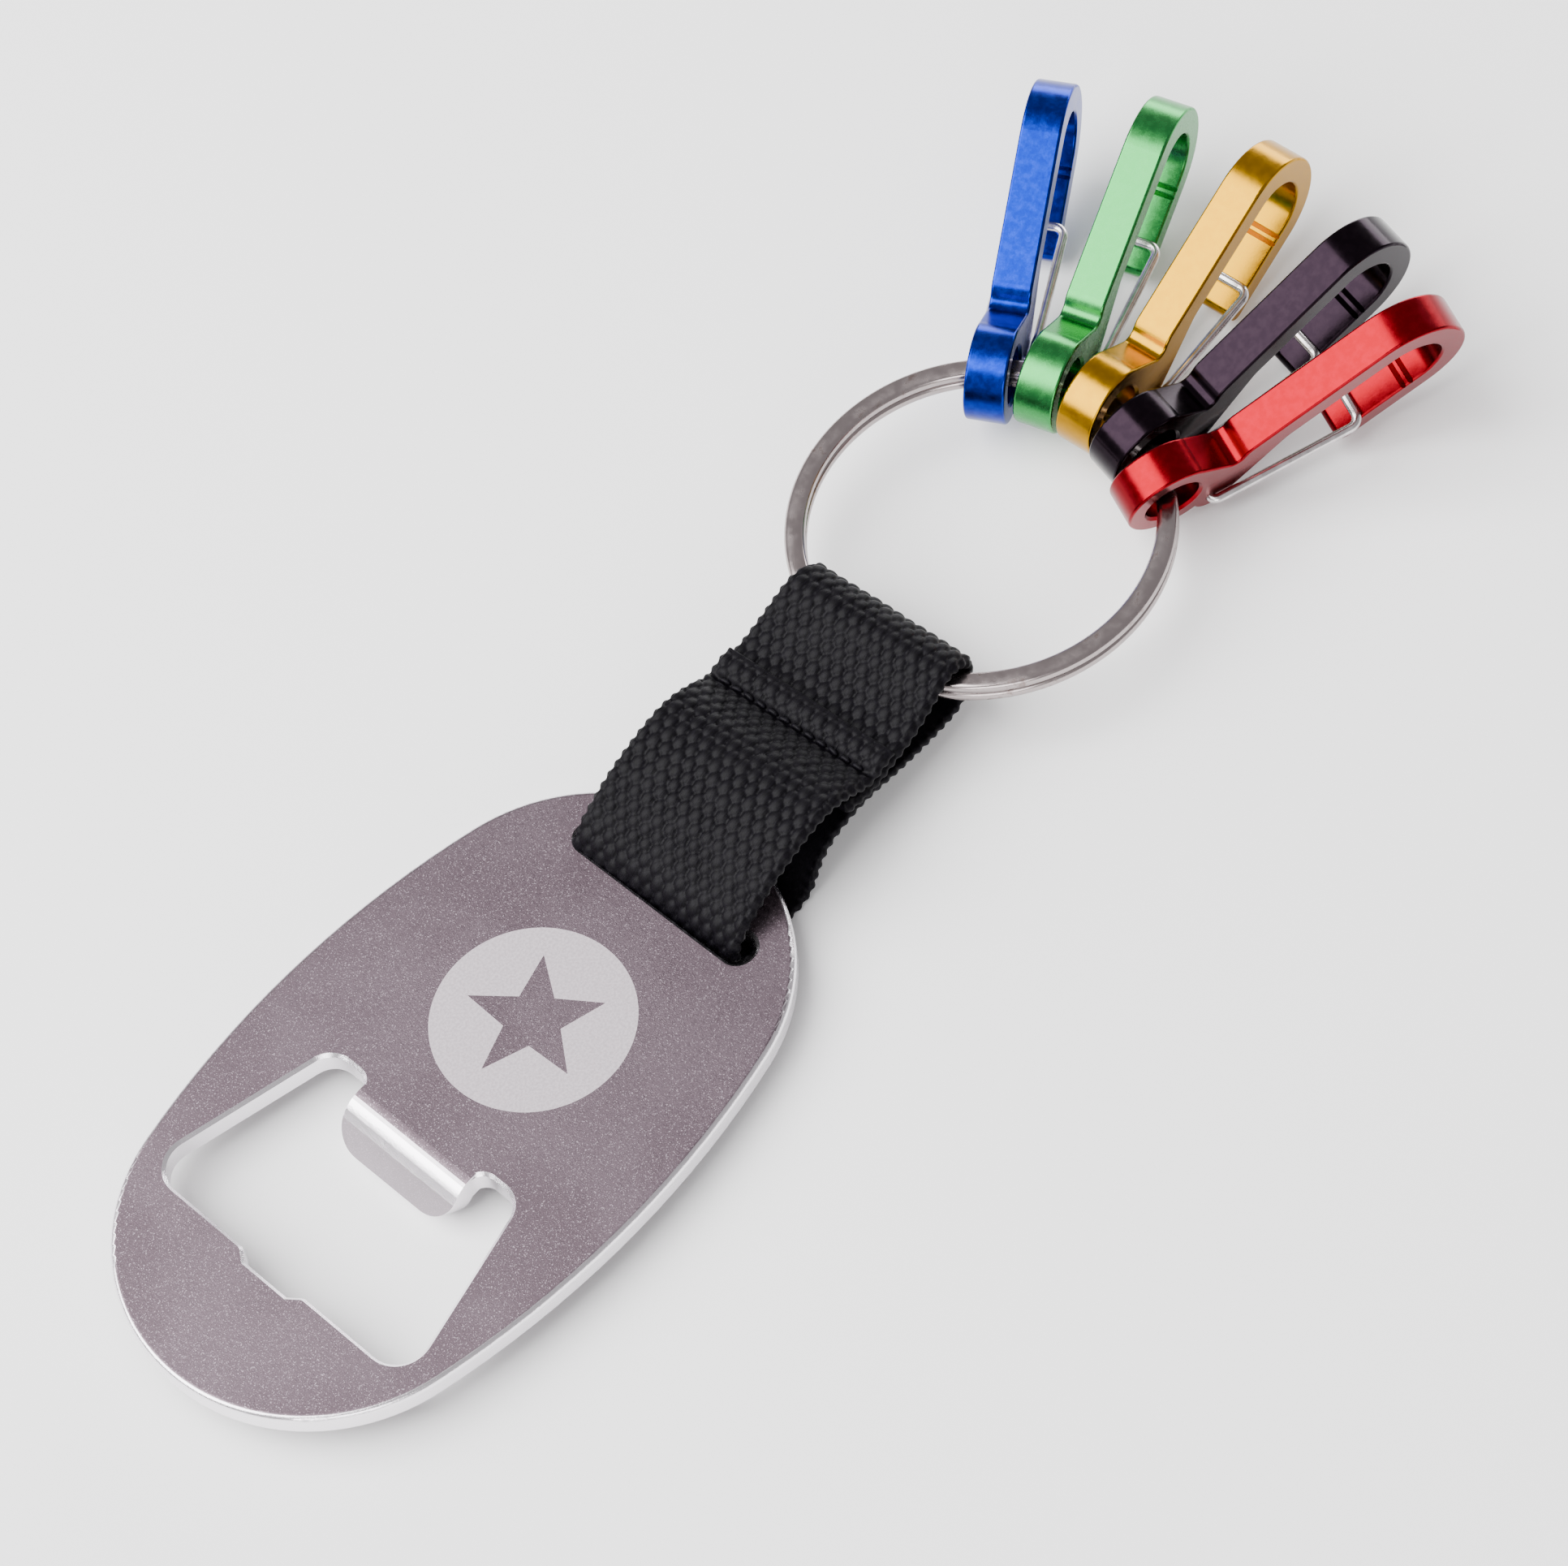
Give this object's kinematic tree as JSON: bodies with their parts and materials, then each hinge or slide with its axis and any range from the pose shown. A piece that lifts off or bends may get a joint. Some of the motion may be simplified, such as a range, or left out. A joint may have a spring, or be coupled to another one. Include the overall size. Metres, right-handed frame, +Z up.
{
  "type": "keychain bottle opener",
  "caption": "Oval bottle opener on a key ring: flat plate with a bent prying lip, a short webbing strap, a split ring and small coloured snap clips with wire gates.",
  "frame": {"origin": "middle of the opener plate's flat underside", "axes": "+X from the opener's tip along the plate to the strap and ring, +Z up out of the plate's top face"},
  "size_m": [0.1499, 0.0488, 0.02],
  "materials": {
    "plate": "fine blasted faces, polished edges",
    "webbing": "woven",
    "thread": "twisted",
    "ring": "polished nickel",
    "gate": "drawn wire",
    "anodised_blue": "anodised satin",
    "anodised_green": "anodised satin",
    "anodised_gold": "anodised satin",
    "anodised_black": "anodised satin",
    "anodised_red": "anodised satin"
  },
  "bodies": {
    "opener": {"opener_plate": "plate", "strap_anchor": "webbing"},
    "strap": {"strap_web": "webbing", "seam_thread": "thread"},
    "ring": {"split_ring": "ring"},
    "clip_blue": {"clip_blue": "anodised_blue"},
    "clip_green": {"clip_green": "anodised_green"},
    "clip_gold": {"clip_gold": "anodised_gold"},
    "clip_black": {"clip_black": "anodised_black"},
    "clip_red": {"clip_red": "anodised_red"},
    "gate_blue": {"gate_blue": "gate"},
    "gate_green": {"gate_green": "gate"},
    "gate_gold": {"gate_gold": "gate"},
    "gate_black": {"gate_black": "gate"},
    "gate_red": {"gate_red": "gate"}
  },
  "joints": [
    {"name": "strap_swing", "type": "hinge", "parent": "opener", "child": "strap", "pos_m": [0.03748, 0.00063, 0.0013], "axis": [0.0541, -0.9985, 0], "range_deg": [-70, 70]},
    {"name": "ring_swing", "type": "hinge", "parent": "strap", "child": "ring", "pos_m": [0.05478, 0.00157, 0.0055], "axis": [0.0541, -0.9985, 0], "range_deg": [-75, 75]},
    {"name": "clip_blue_swing", "type": "hinge", "parent": "ring", "child": "clip_blue", "pos_m": [0.08309, 0.0125, 0.00677], "axis": [0.4829, -0.8751, -0.0312], "range_deg": [-9, 64]},
    {"name": "clip_green_swing", "type": "hinge", "parent": "ring", "child": "clip_green", "pos_m": [0.08562, 0.00779, 0.00687], "axis": [0.2977, -0.9535, -0.0468], "range_deg": [-9, 64]},
    {"name": "clip_gold_swing", "type": "hinge", "parent": "ring", "child": "clip_gold", "pos_m": [0.08652, 0.00253, 0.00689], "axis": [0.0679, -0.9972, -0.0312], "range_deg": [-9, 64]},
    {"name": "clip_black_swing", "type": "hinge", "parent": "ring", "child": "clip_black", "pos_m": [0.08571, -0.00274, 0.00685], "axis": [-0.1838, -0.974, -0.1323], "range_deg": [-9, 64]},
    {"name": "clip_red_swing", "type": "hinge", "parent": "ring", "child": "clip_red", "pos_m": [0.08327, -0.00748, 0.00674], "axis": [-0.3365, -0.9138, -0.2275], "range_deg": [-9, 64]},
    {"name": "gate_blue_opens", "type": "hinge", "parent": "clip_blue", "child": "gate_blue", "pos_m": [0.08641, 0.01444, 0.00355], "axis": [0.4829, -0.8751, -0.0312], "range_deg": [0, 22], "stiffness_Nm_per_rad": 0.005, "springref_deg": -20.05},
    {"name": "gate_green_opens", "type": "hinge", "parent": "clip_green", "child": "gate_green", "pos_m": [0.08924, 0.00908, 0.00365], "axis": [0.2977, -0.9535, -0.0468], "range_deg": [0, 22], "stiffness_Nm_per_rad": 0.005, "springref_deg": -20.05},
    {"name": "gate_gold_opens", "type": "hinge", "parent": "clip_gold", "child": "gate_gold", "pos_m": [0.09035, 0.0029, 0.00367], "axis": [0.0679, -0.9972, -0.0312], "range_deg": [0, 22], "stiffness_Nm_per_rad": 0.005, "springref_deg": -20.05},
    {"name": "gate_black_opens", "type": "hinge", "parent": "clip_black", "child": "gate_black", "pos_m": [0.08958, -0.00304, 0.00367], "axis": [-0.1838, -0.974, -0.1323], "range_deg": [0, 22], "stiffness_Nm_per_rad": 0.005, "springref_deg": -20.05},
    {"name": "gate_red_opens", "type": "hinge", "parent": "clip_red", "child": "gate_red", "pos_m": [0.08726, -0.00822, 0.00379], "axis": [-0.3365, -0.9138, -0.2275], "range_deg": [0, 22], "stiffness_Nm_per_rad": 0.005, "springref_deg": -20.05}
  ]
}
